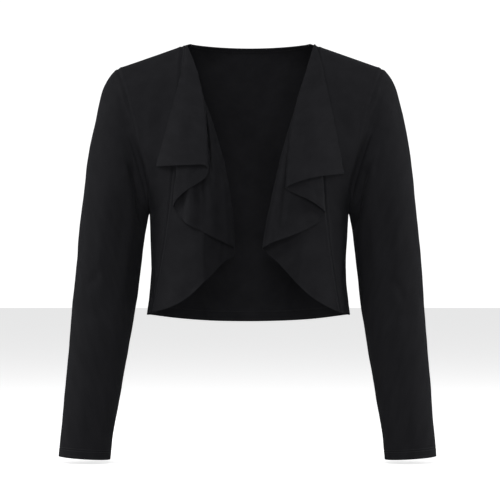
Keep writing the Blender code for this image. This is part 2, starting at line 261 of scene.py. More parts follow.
def clothShell(name, middle, out, material, inside=0.0, closed=False, hand=1, thickness=None):
    # the two faces of the wall share their outermost points, and UV is the distance across and down
    thickness = thickness or cloth["thickness"]
    middle, outer, inner, share = roundedWall(middle, out, thickness, inside, closed)
    rows, columns = share.shape
    around = np.concatenate([middle, middle[:, :1]], axis=1) if closed else middle
    across = runLength(around, 1)
    across = across - across[:, -1:] / 2
    down = runLength(around, 0)
    uvGrid = np.stack([across, down], axis=-1).reshape(-1, 2) * mm
    numbers, places = gridFaces(rows, columns, closed)
    joined = share.ravel() == 0
    innerNumber = np.where(joined, np.arange(rows * columns), 0)
    innerNumber[~joined] = rows * columns + np.arange(np.count_nonzero(~joined))
    points = np.concatenate([outer.reshape(-1, 3), inner.reshape(-1, 3)[~joined]])
    faces = np.concatenate([numbers, innerNumber[numbers][:, ::-1]])
    uv = uvGrid[np.concatenate([places, places[:, ::-1]])]
    if facesInwards(points, faces):
        faces, uv = faces[:, ::-1], uv[:, ::-1]
    if hand < 0:
        points = points * [-1, 1, 1]
        faces, uv = faces[:, ::-1], uv[:, ::-1]
    return makeMesh(name, points, faces.tolist(), material, uv)


def facesInwards(points, faces):
    # sign of the enclosed volume, from the corners' triple products
    a, b, c, d = (points[faces[:, i]] for i in range(4))
    volume = np.einsum("ij,ij->i", a, np.cross(b, c)) + np.einsum("ij,ij->i", a, np.cross(c, d))
    return volume.sum() < 0


# the body of the garment

shoulder = {
    "neckX": 90.0,
    "neckZ": 20.5,
    "tipX": 198.0,
    "tipZ": -17.0,
    "y": 8.0,
    "roundDrop": 46.0,  # drop over which the cloth turns from the shoulder to the chest or back
}

# level sections: half width to the armhole or side seam, how much further the section would run
# past the armhole, and the depth to the front and to the back
torso = table("z edge spare front back", [
    (-400, 154.0, 0, 113, 95),
    (-386, 151.7, 0, 113, 93),
    (-358, 148.5, 0, 113, 89),
    (-322, 145.7, 0, 114, 86),
    (-304, 145.6, 0, 115, 86),
    (-268, 147.2, 0, 116, 89),
    (-234, 149.0, 0, 116, 94),
    (-202, 149.6, 7, 112, 98),
    (-167, 155.5, 16, 104, 99),
    (-133, 164.0, 27, 95, 98),
    (-84, 177.0, 46, 78, 91),
    (-38, 190.5, 62, 58, 80),
    (-17, 198.0, 66, 49, 73),
    (20, 212.0, 68, 34, 60),
    (50, 220.0, 70, 20, 50),
])
bulge = 2.5  # exponent of the level sections, 2 is an ellipse
sideHemZ = -386.0
armEnd = 0.588  # share of the way from the shoulder's tip to the side hem that is armhole


def torsoSize(name, z):
    return curveThrough(np.asarray(z, float), torso["z"], torso[name])


def shoulderZ(x):
    slope = (shoulder["tipZ"] - shoulder["neckZ"]) / (shoulder["tipX"] - shoulder["neckX"])
    return shoulder["neckZ"] + (np.abs(x) - shoulder["neckX"]) * slope


def bodyY(x, z, side):
    # superellipse of the level section, closed up to the shoulder seam by a quarter ellipse.
    # side is -1 on the front and 1 on the back
    across = rising(np.abs(x), torsoSize("edge", z) + torsoSize("spare", z))
    depth = torsoSize("front" if side < 0 else "back", z)
    y = side * depth * (1 - across**bulge) ** (1 / bulge)
    drop = rising(shoulderZ(x) - z, shoulder["roundDrop"])
    return shoulder["y"] + (y - shoulder["y"]) * np.sqrt(1 - (1 - drop) ** 2)


def bodyNormal(x, z, side, step=0.4):
    # out of the skin, from its slopes across and down
    low = np.minimum(z, shoulderZ(x) - 2 * step)
    across = bodyY(x + step, low, side) - bodyY(x - step, low, side)
    down = bodyY(x, low + step, side) - bodyY(x, low - step, side)
    outward = np.full_like(across, side * 2 * step)
    return unit(np.stack([-side * across, outward, -side * down], axis=-1))


# how far the front armhole seam stands forward of the body, most half way down its length
proudValues = {
    "most": 6.0,
    "topZ": -60.0,
    "length": 174.0,
    "reach": 24.0,  # how far from the seam the side front still comes forward with it
}


def proud(z):
    # a smooth hill down the armhole
    return proudValues["most"] * bump((proudValues["topZ"] - z) / proudValues["length"])


def edgeLine(share):
    # the armhole and side seam: half width and height
    z = shoulder["tipZ"] + (sideHemZ - shoulder["tipZ"]) * share
    return torsoSize("edge", z), z


underarmZ = edgeLine(armEnd)[1]


def facing(normals, side):
    middle = normals[normals.shape[0] // 2, normals.shape[1] // 2]
    return normals if middle[1] * side > 0 else -normals


# back

backValues = {
    "neckColumns": 44,  # from the centre back to the neck point
    "shoulderColumns": 52,  # from there to the armhole
    "rows": 150,
    "length": 410.0,  # rough lengths of the cloth, for the spacing of its rows and columns
    "shoulderLength": 120.0,
    "topBend": 0.1,  # share of the way down over which the rows turn over the shoulder
    "neckZ": 16.5,  # height of the neck edge at the centre
    "hemZ": -398.0,
    "hemCurve": 2.5,
    "hemDepth": 16.0,  # width of the turned-up hem
    "hemThickness": 0.8,
    "stitchInset": 2.0,  # the coverstitch runs this far below the turning's end
    "uneven": 0.55,
    "seed": 11,
    "calmTop": 30.0,  # creases fade out this near the shoulder and neck
    "creases": creaseRows([
        (-128, -318, 20, -352, 6, 13, -3.3),
        (-30, -300, 132, -330, -8, 12, -3.0),
        (-110, -262, 60, -282, 5, 15, 2.2),
        (30, -150, 36, -338, 6, 20, 1.8),
        (-40, -90, -52, -300, -5, 22, -2.0),
        (-168, -120, -118, -232, 6, 11, -3.0),
        (168, -128, 112, -240, -6, 11, -2.7),
        (-150, -60, -96, -150, 4, 12, 1.8),
        (150, -64, 100, -142, -4, 12, 1.7),
    ]),
}

bandValues = {
    "depth": 7.2,
    "thickness": 0.9,
    "gap": 0.35,  # between it and the back panel
    "endInset": 4.0,  # it stops this far before the neck points
    "rows": 9,
    "stitchInset": 1.3,
    "stitchSkip": 3,  # columns without stitches at each end
}


def backGrid(values):
    # x is the share across times the width at that height, z falls from the neck and shoulder line
    # to the hem, and y is the body's back
    fine = finerEnds(values["rows"], values["length"], start=False)
    down = easedTop(fine, values["topBend"])[:, None]
    neck = shoulder["neckX"] / shoulder["tipX"]
    s = np.linspace(0, np.pi / 2, values["neckColumns"])
    outer = finerEnds(values["shoulderColumns"], values["shoulderLength"])
    outerShare = np.sin(outer * np.pi / 2)
    half = np.concatenate([neck * np.sin(s), neck + (1 - neck) * outerShare[1:]])
    across = np.concatenate([-half[:0:-1], half])
    edgeX, edgeZ = edgeLine(down[:, 0])
    atNeck = np.abs(across) < neck + tiny
    share = rising(np.abs(across), neck)
    neckZ = values["neckZ"] + (shoulder["neckZ"] - values["neckZ"]) * share**2
    top = np.where(atNeck, neckZ, shoulderZ(shoulder["tipX"] * across))
    bottom = values["hemZ"] + (sideHemZ - values["hemZ"]) * np.abs(across) ** values["hemCurve"]
    x = edgeX[:, None] * across
    z = top + (bottom - top) * down
    skin = np.stack([x, bodyY(x, z, 1), z], axis=-1)
    normals = facing(gridNormals(skin), 1)
    seams = edgeZ <= underarmZ
    normals[0, ~atNeck, 1] = 0
    normals[0, atNeck] = bodyNormal(x[0, atNeck], z[0, atNeck], 1)
    for end in (0, -1):
        normals[seams, end, 1] = 0
        skin[seams, end, 1] += cloth["seamGap"] / 2
    skin[0, ~atNeck, 1] += cloth["seamGap"] / 2
    return skin, unit(normals), atNeck


def backPanel(values, material):
    skin, out, atNeck = backGrid(values)
    seam = seamShape(edgeDistance(skin, "start")) + seamShape(edgeDistance(skin, "end"))
    seam = seam * seamHold(skin[:, :1, 2])
    shoulderSeam = np.where(atNeck, 0, seamShape(edgeDistance(skin, "top")))
    fromHem = edgeDistance(skin, "bottom")
    x, z = skin[..., 0], skin[..., 2]
    fade = rising(edgeDistance(skin, "top"), values["calmTop"])
    lift = creases(x, z, values["creases"]) + values["uneven"] * unevenness(x, z, values["seed"])
    lift = lift * fade + seam + shoulderSeam + stitchGroove(fromHem, values["hemDepth"])
    skin = skin + out * lift[..., None]
    hem = turnedUp(fromHem, values["hemDepth"])
    middle = skin - out * cloth["thickness"] / 2
    piece = clothShell("backPanelCloth", middle, out, material, inside=values["hemThickness"] * hem)
    return piece, skin, out, atNeck


def neckBand(values, skin, out, atNeck, material):
    # strip inside the back neck edge: the panel's skin down to the band's depth, moved inwards
    columns = np.flatnonzero(atNeck)
    run = runLength(skin[:1, columns], 1)[0]
    keep = columns[(run > values["endInset"]) & (run < run[-1] - values["endInset"])]
    down = edgeDistance(skin, "top")[:, keep]
    depths = np.linspace(0, values["depth"], values["rows"])
    lines = [lineAt(skin[:, keep], out[:, keep], down, depth) for depth in depths]
    points = np.stack([line[0] for line in lines])
    normals = unit(np.stack([line[1] for line in lines]))
    away = cloth["thickness"] + values["gap"] + values["thickness"] / 2
    middle = points - normals * away
    return clothShell("backNeckBand", middle, normals, material, thickness=values["thickness"])


def turnedUp(distance, depth, soft=0.5):
    # 1 on the turned-up hem and 0 beyond it
    return np.clip(0.5 - (distance - depth) / soft, 0, 1)


def stitchGroove(distance, depth, width=0.9, deep=0.22):
    # shallow bell along a row of stitches
    return -deep * bell(distance - depth, width)


def lineAt(points, out, distance, depth):
    # the point of every column that lies at one distance from the edge, and the normal there
    rows, columns = distance.shape
    flip = distance[0, 0] > distance[-1, 0]
    if flip:
        points, out, distance = points[::-1], out[::-1], distance[::-1]
    cell = np.clip(np.argmax(distance > depth, axis=0) - 1, 0, rows - 2)
    column = np.arange(columns)
    low, high = distance[cell, column], distance[cell + 1, column]
    t = ((depth - low) / np.maximum(high - low, tiny))[:, None]
    place = points[cell, column] * (1 - t) + points[cell + 1, column] * t
    return place, out[cell, column] * (1 - t) + out[cell + 1, column] * t


# fronts

# every fold line falls from the shoulder seam to its tip on the lower edge. topX, tipX and tipZ
# place it, and bow bends it outwards, most at the height that peak sets (1 is half way, more is
# lower). under and over are how far the layers on its two sides stand off the body, at top and tip.
# sink and climb take the lower edge from the tip to the layer under it and to the layer over it
foldColumns = "topX tipX tipZ bow peak underTop underTip overTop overTip sink climb"

# a layer's lower edge is arched by bend and humped by lift near its start and by late near its end.
# Its stand-off runs from one fold to the next as the power spread of the share past begin
layerColumns = "steps bend lift late spread begin"

frontValues = {
    "rows": 150,
    "sideColumns": 58,
    "rollSteps": 15,
    "drapeLength": 330.0,  # rough lengths of the cloth, for the spacing of its rows and columns
    "layerLength": 100.0,
    "sideLength": 370.0,
    "sideWidth": 60.0,
    "drapeBend": 0.12,  # share of the way down over which the rows turn over the shoulder
    "sideBend": 0.1,
    "easeReach": 5,  # columns on each side of a roll that are smoothed with it
    "easeTimes": 8,
    "upperStart": 4.0,  # the folded layers start this far below the shoulder seam
    "creaseRate": 2.8,  # how soon a layer's creases come in beside a roll, and how softly
    "creasePower": 1.5,
    "uneven": 0.4,
    "longest": 80.0,  # waves of the drape's uneven surface
    "shortest": 20.0,
    "calmTop": 60.0,  # they fade out this near the shoulder and the princess seam
    "calmSeam": 8.0,
    "sideCalmTop": 30.0,  # and the side front's creases this near the shoulder and its sides
    "sideCalm": 6.0,
    "edgeCurl": 0.35,  # the cut edge rolls outwards on the body and inwards on the upper layers
    "edgeReach": 3.0,
    "curlTurn": 10.0,  # stand-off of the layers that roll inwards
}

leftFront = {
    "folds": table(foldColumns, [
        (101, 143.5, -381.5, -9, 1.30, 0, 0, 0, 0, 0, 0),  # princess seam
        (97.5, 22.5, -290, -17, 1.15, 0, -46, 1.0, -40, 8, 5),  # centre fold
        (98.5, 106.5, -226, 0, 1, 1.1, 4.5, 2.4, 15.5, 14, 9.5),  # outer fold
        (97, 56.5, -176, -11, 0.75, 2.4, 17, 3.6, 27, 10, 6.5),  # inner fold
        (97.8, 135.8, -165.5, -6, 0.4, 3.6, 3.4, 0, 0, 0, 0),  # free edge
    ]),
    "layers": table(layerColumns, [
        (72, -0.655, 0, 14.2, 0.85, 0.58), (56, -0.12, 0, 0, 0.42, 0),
        (32, 0, 3.3, 0, 1, 0), (44, 0, -1, 0, 3, 0),
    ]),
    "layerCreases": [
        creaseRows([
            (40, -250, 41, -318, 0, 3.5, -2.5),
            (74, -20, 58, -235, 0, 9, -9),
            (90, -250, 78, -350, 4, 10, 1.4),
            (118, -240, 104, -352, 2, 9, -0.9),
        ]),
        creaseRows([
            (90, -20, 76, -440, 0, 20, 16),
            (80, -60, 68, -320, 2, 7, -8),
            (72.5, -20, 53, -215, 0, 3, -11),
            (58, -110, 54, -340, 0, 12, 9),
            (94, -170, 88, -268, 2, 8, 2.0),
        ]),
        creaseRows([(84, -110, 92, -222, 3, 8, 1.5), (70, -100, 72, -205, 0, 6, -1.0)]),
        creaseRows([
            (100, -60, 108, -172, 4, 14, 1.6),
            (78, -70, 84, -175, -2, 8, -1.2),
            (122, -90, 128, -174, 0, 7, -0.8),
            (100, 30, 116, -70, 0, 6, 3.0),
        ]),
    ],
    "sideCreases": creaseRows([
        (146, -28, 146, -128, 2, 9, 1.3),
        (161, -70, 155, -150, 0, 6, -1.2),
        (130, -48, 135, -145, 0, 8, -1.3),
        (158, -118, 143, -240, 3, 8, 1.8),
        (136, -190, 135, -310, 2, 5, -1.7),
        (143, -225, 143, -320, 0, 4, 0.9),
        (142, -300, 146, -384, 0, 5, -0.8),
    ]),
    "seed": 3,
}

rightFront = {
    "folds": table(foldColumns, [
        (101, 135.6, -381.5, -9.5, 1.2, 0, 0, 0, 0, 0, 0),
        (96, 18.3, -287, -6.3, 1.2, 0, -14, 1.2, 14, 9, 9.5),
        (97.5, 106.2, -234.5, 0, 1, 1.1, 5, 2.4, 16, 14, 4.5),
        (95.7, 50.5, -202, -8.3, 1.25, 2.4, 17, 3.6, 26, 2.5, 3.5),
        (95, 138, -175.8, 3, 0.8, 3.6, 3.4, 0, 0, 0, 0),
    ]),
    "layers": table(layerColumns, [
        (60, -0.37, 0, 8, 1.5, 0.5), (52, -0.25, 0, 0, 1, 0),
        (32, 0, 3.3, 0, 1, 0), (44, 0.65, 0, 0, 3, 0),
    ]),
    "layerCreases": [
        creaseRows([
            (60, -60, 50, -350, 0, 13, -5),
            (84, -240, 76, -350, 3, 10, 1.4),
            (58, -258, 52, -330, 0, 7, -1.4),
            (112, -246, 102, -360, 2, 8, -1.0),
        ]),
        creaseRows([
            (60, -80, 36, -320, 2, 8, -15),
            (90, -10, 56, -210, 3, 4, -3),
            (34, -140, 26, -330, 0, 7, 6),
            (72, -130, 70, -270, 0, 9, 2.0),
        ]),
        creaseRows([(78, -120, 92, -230, 3, 8, 1.4), (64, -120, 70, -215, 0, 6, -1.0)]),
        creaseRows([
            (96, -60, 100, -192, 4, 13, 1.5),
            (76, -80, 76, -196, -2, 8, -1.2),
            (120, -90, 126, -182, 0, 8, -0.9),
            (98, 30, 113, -70, 0, 6, 3.0),
        ]),
    ],
    "sideCreases": creaseRows([
        (157, -30, 156, -120, 2, 9, 1.2),
        (166, -70, 158, -150, 0, 6, -1.0),
        (138, -50, 142, -140, 0, 8, -1.2),
        (152, -120, 145, -245, 3, 7, 1.8),
        (126, -225, 128, -330, 2, 6, -1.5),
        (138, -230, 138, -330, 0, 5, 0.9),
        (140, -300, 146, -384, 0, 5, -0.8),
    ]),
    "seed": 5,
}


def foldFall(folds, index, z):
    # share of the way down a fold line
    line = folds[index]
    top = shoulderZ(line["topX"])
    return np.maximum((top - z) / (top - line["tipZ"]), 0)


def foldX(folds, index, z):
    # straight line from the seam to the tip, plus a bowed sine hump
    line = folds[index]
    down = foldFall(folds, index, z)
    hump = np.sin(np.pi * np.clip(down, 0, 1) ** line["peak"])
    return line["topX"] + (line["tipX"] - line["topX"]) * down + line["bow"] * hump


def standOff(folds, index, z, which):
    line = folds[index]
    top, tip = line[which + "Top"], line[which + "Tip"]
    return top + (tip - top) * foldFall(folds, index, z)


def rollRadius(folds, index, z):
    return (standOff(folds, index, z, "over") - standOff(folds, index, z, "under")) / 2


def earlyHump(height, s):
    # s (1 - s)^2, scaled by one over its greatest value to reach the height
    return height * s * (1 - s) ** 2 * 27 / 4


def lateHump(height, s):
    # s^4 (1 - s)^1.5, scaled by one over its greatest value to reach the height
    return height * s**4 * (1 - s) ** 1.5 * 25.1


def layerSheet(front, index, down):
    # between two fold lines: x runs straight from roll to roll, the lower edge is arched by
    # s (1 - s) and humped early and late, and the stand-off is a power of s past a start. The
    # creases fade to nothing at the rolls
    folds, layer = front["folds"], front["layers"][index]
    count, length = int(layer["steps"]) + 1, frontValues["layerLength"]
    share = finerEnds(count, length, start=index == 0, end=index == 3)
    start, end = folds[index], folds[index + 1]
    lowStart, lowEnd = start["tipZ"] + start["climb"], end["tipZ"] - end["sink"]
    arch = layer["bend"] * share * (1 - share)
    hump = earlyHump(layer["lift"], share) + lateHump(layer["late"], share)
    low = lowStart + (lowEnd - lowStart) * (share + arch) + hump
    first = shoulderZ(start["topX"] + (end["topX"] - start["topX"]) * share)
    first = first - (frontValues["upperStart"] if index else 0)
    z = first + (low - first) * down
    inward = -1 if index % 2 else 1
    beginRoll = rollRadius(folds, index, z) if index else 0
    endRoll = rollRadius(folds, index + 1, z) if index < 3 else 0
    begin = foldX(folds, index, z) - inward * beginRoll
    finish = foldX(folds, index + 1, z) + inward * endRoll
    x = begin + (finish - begin) * share
    offBegin, offEnd = standOff(folds, index, z, "over"), standOff(folds, index + 1, z, "under")
    past = rising(share - layer["begin"], 1 - layer["begin"])
    off = offBegin + (offEnd - offBegin) * past ** layer["spread"]
    rate, power = frontValues["creaseRate"], frontValues["creasePower"]
    soften = lambda s: np.sin(np.minimum(1, rate * s) * np.pi / 2) ** power
    hold = soften(share) * (1 if index == 3 else soften(1 - share))
    return x, z, off + hold * creases(x, z, front["layerCreases"][index])


def rollSheet(front, index, down):
    # half turn at a fold line, a half circle. Its lower edge leaves the tip as 1 - sin of the turn
    folds = front["folds"]
    line = folds[index]
    turn = np.linspace(0, np.pi, frontValues["rollSteps"] + 1)[1:-1]
    drop = frontValues["upperStart"] * (turn / np.pi if index == 1 else 1)
    start = shoulderZ(line["topX"]) - drop
    away = np.where(turn < np.pi / 2, -line["sink"], line["climb"])
    low = line["tipZ"] + away * (1 - np.sin(turn))
    z = start + (low - start) * down
    radius = rollRadius(folds, index, z)
    outward = 1 if index % 2 else -1
    x = foldX(folds, index, z) + outward * radius * (1 - np.sin(turn))
    return x, z, standOff(folds, index, z, "under") + radius - radius * np.cos(turn)


def eased(lines, first, last):
    # every column from first to last moves half way to the mean of its neighbours, easeTimes times
    for _ in range(frontValues["easeTimes"]):
        beside = lines[..., first - 1 : last - 1] + lines[..., first + 1 : last + 1]
        lines[..., first:last] = lines[..., first:last] / 2 + beside / 4


def drapeFront(name, front, hand, material):
    # one sheet from the princess seam to its free edge, folded at three lines
    values = frontValues
    fine = finerEnds(values["rows"], values["drapeLength"], start=False)
    down = easedTop(fine, values["drapeBend"])[:, None]
    parts = [layerSheet(front, 0, down)]
    for index in (1, 2, 3):
        parts += [rollSheet(front, index, down), layerSheet(front, index, down)]
    lines = np.stack([np.concatenate([part[i] for part in parts], axis=1) for i in range(3)])
    ends = np.cumsum([part[0].shape[1] for part in parts])
    for first, last in zip(ends[0:-1:2], ends[1::2]):
        eased(lines, first - values["easeReach"], last + values["easeReach"])
    x, z, off = lines
    x[:, 0] += cloth["seamGap"]
    skin = np.stack([x, bodyY(x, z, -1), z], axis=-1)
    out = bodyNormal(x, z, -1)
    onSeam = int(front["layers"]["steps"][0])
    skin[0, : onSeam + 1, 1] = shoulder["y"] - 1.5 * cloth["seamGap"]
    middle = skin + out * (off - cloth["thickness"] / 2)[..., None]
    normals = gridNormals(middle)
    half = normals.shape[0] // 2
    if np.dot(normals[half, 2], out[half, 2]) < 0:
        normals = -normals
    normals[:, 0] = out[:, 0]
    normals[0, :onSeam, 1] = 0
    normals = unit(normals)
    across, fall = runLength(middle, 1), runLength(middle, 0)
    waves = unevenness(across, fall, front["seed"], values["longest"], values["shortest"])
    lift = values["uneven"] * waves
    lift = lift * rising(fall, values["calmTop"]) * rising(across, values["calmSeam"])
    lift = lift + seamShape(across)
    curl = values["edgeCurl"] * bell(edgeDistance(middle, "bottom"), values["edgeReach"])
    curl = curl * np.cos(np.pi * rising(off, values["curlTurn"]))
    middle = middle + normals * (lift + curl)[..., None]
    return clothShell(name, middle, normals, material, hand=hand)


def sideFront(name, front, hand, material):
    # between the armhole or side seam and the princess seam, straight across in x and z
    values, folds = frontValues, front["folds"]
    fine = finerEnds(values["rows"], values["sideLength"], start=False)
    down = easedTop(fine, values["sideBend"])
    edgeX, edgeZ = edgeLine(down)
    top = shoulderZ(folds["topX"][0])
    seamZ = top + (folds["tipZ"][0] - top) * down
    seamX = foldX(folds, 0, seamZ) + cloth["seamGap"] / 2
    share = 1 - np.cos(finerEnds(values["sideColumns"], values["sideWidth"]) * np.pi / 2)
    x = edgeX[:, None] + (seamX - edgeX)[:, None] * share
    z = edgeZ[:, None] + (seamZ - edgeZ)[:, None] * share
    skin = np.stack([x, bodyY(x, z, -1), z], axis=-1)
    skin[..., 1] -= proud(edgeZ[:, None]) * bell(edgeDistance(skin, "start"), proudValues["reach"])
    skin[0, :, 2] = shoulderZ(skin[0, :, 0])
    skin[0, :, 1] = shoulder["y"] - cloth["seamGap"] / 2
    below = edgeZ <= underarmZ
    normals = facing(gridNormals(skin), -1)
    normals[0, :, 1] = 0
    normals[below, 0, 1] = 0
    normals[1:, -1] = bodyNormal(x[1:, -1], z[1:, -1], -1)
    normals = unit(normals)
    skin[below, 0, 1] -= cloth["seamGap"] / 2
    fromTop, fromSide, fromSeam = (edgeDistance(skin, edge) for edge in ("top", "start", "end"))
    fade = rising(fromTop, values["sideCalmTop"]) * rising(fromSide, values["sideCalm"])
    fade = fade * rising(fromSeam, values["sideCalm"])
    lift = creases(x, z, front["sideCreases"])
    lift = lift + values["uneven"] * unevenness(x, z, front["seed"] + 1)
    lift = lift * fade + (seamShape(fromSeam) + seamShape(fromTop))
    lift = lift + seamShape(fromSide) * seamHold(edgeZ[:, None])
    middle = skin + normals * (lift - cloth["thickness"] / 2)[..., None]
    return clothShell(name, middle, normals, material, hand=hand)


# sleeves

# the outer and the inner end of each section, its half depth and its middle in Y. The first one is
# bent to the armhole, and the next ones less and less so
sleeveSections = table("outerX outerZ innerX innerZ half y", [
    (198.6, -17, 149.6, -234, 60, 4),
    (205.5, -23, 149.6, -234.6, 60, 4),
    (213.5, -34.5, 150.0, -235.2, 61, 3),
    (221.4, -52.5, 150.4, -236.2, 61, 3),
    (228.5, -80, 150.8, -237.8, 61, 2),
    (234.7, -109, 151.2, -240.5, 60.5, 2),
    (239.9, -138, 151.6, -244, 60, 2),
    (244, -168, 152.2, -248.5, 59.5, 2),
    (248.5, -204, 153.4, -257, 59, 3),
    (253, -246, 156.4, -276, 57.5, 5),
    (258.5, -304, 162.0, -318, 54, 7),
    (263.4, -363, 168.6, -371, 50, 5),
    (268.8, -434, 179.2, -437, 46.5, -2),
    (273.9, -500, 190.4, -503, 43, -11),
    (279.6, -568, 201.6, -572, 40.5, -20),
    (280.9, -583.3, 203.2, -588.3, 40.2, -21.5),
    (281.9, -596.4, 204.6, -601.4, 39.8, -23),
])

sleeveValues = {
    "rings": 190,
    "round": 150,
    "fadeRing": 9,  # from this section on, the sleeve has a shape of its own
    "armholeGap": 0.15,
    "tuck": 1.2,  # the sleeve starts this far inside the armhole where they meet in a crease
    "creaseZ": -190.0,  # below this the sleeve meets the body in a crease
    "creaseBlend": 80.0,
    "sideBlend": 1.6,  # how soon a face's creases come in past the sleeve's two edges
    "hemDepth": 12.5,  # from the cuff's edge to the stitches
    "turnedPast": 2.0,  # the turned-up cloth goes on this far past them
    "hemThickness": 0.8,
    "uneven": 0.5,
    "unevenX": 0.6,  # shares of x and y in the way that the uneven waves count round the sleeve
    "unevenY": 1.2,
    "calmTop": 25.0,  # creases fade this near the armhole and the cuff, where a share of them stays
    "calmCuff": 40.0,
    "cuffShare": 0.25,
    "valley": 24.0,  # how far the sleeve falls back beside the lower armhole, in front and behind
    "backValley": 10.8,
    "valleyReach": 30.0,  # down the sleeve from the armhole. The rate is how fast it comes in
    "valleyRate": 1.5,
    "valleyTopZ": -70.0,  # it is on the armhole below this height, in full after the blend
    "valleyBlend": 90.0,
    "underSeam": 0.49,  # depth of the underarm seam, and its half width in radians of the turn
    "underSeamTurn": 0.028,
    "underSeamStart": 20.0,  # it comes in over this far from the armhole
}

leftSleeve = {
    "front": creaseRows([
        (182, -140, 200, -370, 5, 11, -3.2),
        (203, -130, 216, -330, -4, 15, 1.6),
        (226, -262, 190, -376, 3, 7, -2.4),
        (248, -352, 212, -306, -3, 8, -1.8),
        (163, -226, 180, -385, 3, 8, -3.2),
        (236, -300, 200, -352, 2, 9, 1.2),
        (205, -392, 246, -372, 3, 12, -1.1),
        (222, -420, 240, -560, 4, 16, 1.1),
        (214, -430, 228, -590, -3, 13, -0.9),
    ]),
    "back": creaseRows([
        (240, -290, 176, -342, 5, 9, -3.0),
        (252, -350, 186, -372, -4, 9, -2.7),
        (236, -256, 170, -300, 4, 11, 1.9),
        (188, -120, 208, -330, 5, 13, -2.2),
        (216, -400, 236, -580, 5, 15, 1.2),
    ]),
    "seed": 21,
}

rightSleeve = {
    "front": creaseRows([
        (200, -170, 215, -350, 4, 12, -1.9),
        (204, -322, 236, -378, -4, 8, -2.4),
        (238, -340, 200, -368, 3, 9, 1.4),
        (172, -215, 182, -365, 3, 9, -3.2),
        (188, -70, 184, -170, 0, 10, -1.8),
        (216, -120, 226, -300, -3, 15, 1.5),
        (214, -398, 252, -372, 3, 11, -1.2),
        (224, -420, 246, -570, 4, 16, 1.1),
        (212, -420, 222, -560, -3, 12, -1.1),
    ]),
    "back": creaseRows([
        (242, -300, 178, -350, -5, 9, -3.0),
        (250, -338, 190, -322, 4, 9, -2.2),
        (238, -262, 172, -296, 4, 11, 1.8),
        (190, -130, 212, -318, 5, 13, -2.0),
        (220, -410, 234, -586, 5, 15, 1.2),
    ]),
    "seed": 22,
}


def armholeRing(turn):
    # the armhole, which is the edge of the back and the side front
    x, z = edgeLine((1 - np.cos(turn)) / 2 * armEnd)
    y = np.where(np.sin(turn) > 0, bodyY(x, z, -1) - proud(z), bodyY(x, z, 1))
    y[0] = shoulder["y"]
    deep = 1 - clearOfBody(z)
    return np.stack([x + sleeveValues["armholeGap"] - sleeveValues["tuck"] * deep, y, z], axis=-1)


def sleeveRings(values):
    # ellipses that fan round the underarm and then run down the arm. Their sizes are read along the
    # outer edge, and the first ones are drawn towards the armhole by a share that falls as a square
    sections = sleeveSections
    outer = np.stack([sections["outerX"], sections["outerZ"]], axis=-1)
    places = np.concatenate([[0], np.cumsum(np.linalg.norm(np.diff(outer, axis=0), axis=1))])
    at = finerEnds(values["rings"], places[-1]) * places[-1]
    names = sections.dtype.names
    size = {name: curveThrough(at, places, sections[name])[:, None] for name in names}
    turn = np.linspace(0, 2 * np.pi, values["round"] + 1)[:-1]
    along = (1 + np.cos(turn)) / 2
    x = size["innerX"] + (size["outerX"] - size["innerX"]) * along
    z = size["innerZ"] + (size["outerZ"] - size["innerZ"]) * along
    y = size["y"] - size["half"] * np.sin(turn)
    rings = np.stack([x, y, z], axis=-1)
    index = np.interp(at, places, np.arange(len(places)))
    fade = np.clip(1 - index / values["fadeRing"], 0, 1)[:, None, None] ** 2
    return rings + fade * (armholeRing(turn) - rings[0]), turn


def sleeve(name, look, hand, material):
    # the rings' surface, drawn in along its seams and creased on its front and its back
    values = sleeveValues
    rings, turn = sleeveRings(values)
    forward = np.sin(turn)
    normals = gridNormals(rings, closed=True)
    if normals[-1, 0, 0] < 0:
        normals = -normals
    ringX, ringZ = rings[0, :, 0], rings[0, :, 2]
    torsoOut = [bodyNormal(ringX, ringZ, side) for side in (-1, 1)]
    torsoOut = np.where((forward > 0)[:, None], *torsoOut)
    torsoOut[0, 1] = 0
    clear = clearOfBody(ringZ)[:, None]
    normals[0] = unit(normals[1] + (unit(torsoOut) - normals[1]) * clear)
    x, z = rings[..., 0], rings[..., 2]
    front = np.clip(forward * values["sideBlend"], 0, 1)
    back = np.clip(-forward * values["sideBlend"], 0, 1)
    fromTop, fromCuff = edgeDistance(rings, "top"), edgeDistance(rings, "bottom")
    lift = front * creases(x, z, look["front"]) + back * creases(x, z, look["back"])
    around = rings[..., 1] * values["unevenY"] + x * values["unevenX"]
    lift = lift + values["uneven"] * unevenness(around, z, look["seed"])
    lift = lift * rising(fromTop, values["calmTop"])
    lift = lift * np.maximum(rising(fromCuff, values["calmCuff"]), values["cuffShare"])
    low = rising(values["valleyTopZ"] - ringZ, values["valleyBlend"])
    far = fromTop / values["valleyReach"]
    valley = np.clip(values["valleyRate"] * far, 0, 1) * bell(far, 1)
    deep = np.where(forward > 0, values["valley"], values["backValley"])
    lift = lift - deep * low * np.abs(forward) ** 0.5 * valley
    underSeam = values["underSeam"] * bell(turn - np.pi, values["underSeamTurn"])
    underSeam = underSeam * rising(fromTop, values["underSeamStart"])
    lift = lift + seamShape(fromTop) * seamHold(ringZ) - underSeam
    lift = lift + stitchGroove(fromCuff, values["hemDepth"])
    skin = rings + normals * lift[..., None]
    hem = turnedUp(fromCuff, values["hemDepth"] + values["turnedPast"])
    middle = skin - normals * cloth["thickness"] / 2
    inside = values["hemThickness"] * hem
    piece = clothShell(name, middle, normals, material, inside=inside, closed=True, hand=hand)
    return piece, skin, normals, fromCuff


# stitches

threadValues = {
    "pitch": 3.0,
    "length": 2.5,
    "width": 0.42,
    "rise": 0.16,
    "rowGap": 3.2,  # between the two rows of a twin needle
    "zigzag": 52.0,  # degrees of the covering thread inside a hem
    "zigzagLonger": 0.35,  # its stitches are longer by this share
    "zigzagUp": 1.0,  # and lie this far above the middle of the twin rows
}


